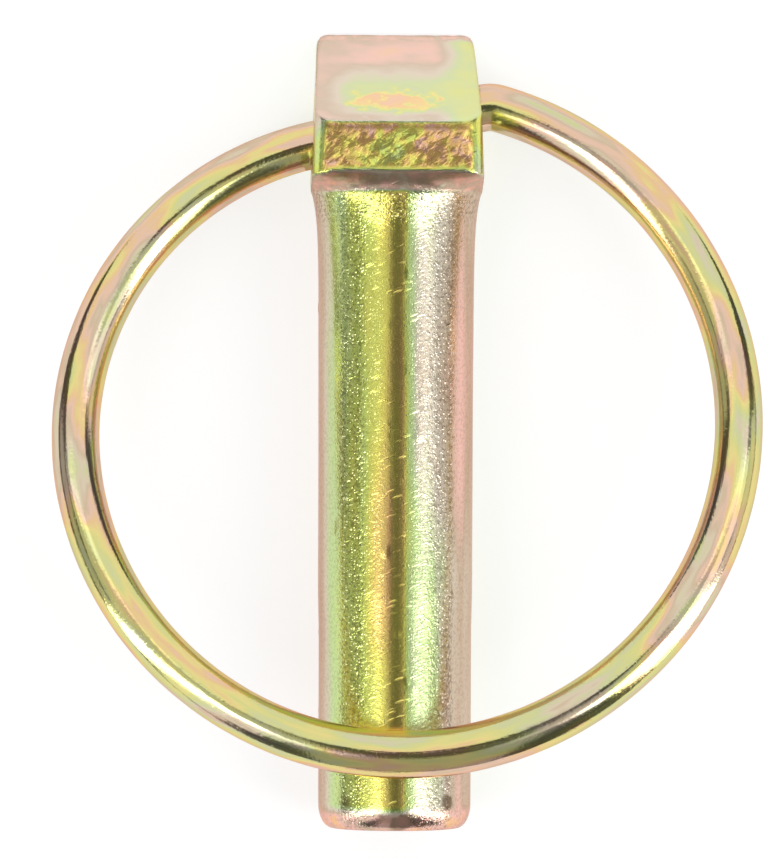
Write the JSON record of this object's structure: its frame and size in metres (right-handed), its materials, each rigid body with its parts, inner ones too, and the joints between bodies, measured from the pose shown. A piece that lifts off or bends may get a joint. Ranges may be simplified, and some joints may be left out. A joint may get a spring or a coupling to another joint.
{
  "type": "lynch pin",
  "caption": "Lynch pin: a round shank with a forged wedge-shaped head, and a round spring-wire ring that swings through the head and closes over the tip.",
  "frame": {"origin": "on the shank's axis, where the straight shank meets the neck under the head", "axes": "+Y along the shank towards the head, +Z towards the side where the ring lies, +X to the right as seen from the ring's side with the head up"},
  "size_m": [0.0517, 0.0581, 0.015],
  "materials": {
    "plated_forging": "yellow chromated zinc plating over a slightly pitted forging, with green, pink and gold tints",
    "plated_wire": "yellow chromated zinc plating over drawn spring wire, with green, pink and gold tints"
  },
  "bodies": {
    "pin": {"pin": "plated_forging"},
    "ring": {"ring": "plated_wire"}
  },
  "joints": [
    {"name": "ring_swing", "type": "hinge", "parent": "pin", "child": "ring", "pos_m": [0, 0.01035, -0.0015], "axis": [-0.9763, -0.2164, 0], "range_deg": [0, 340]}
  ]
}
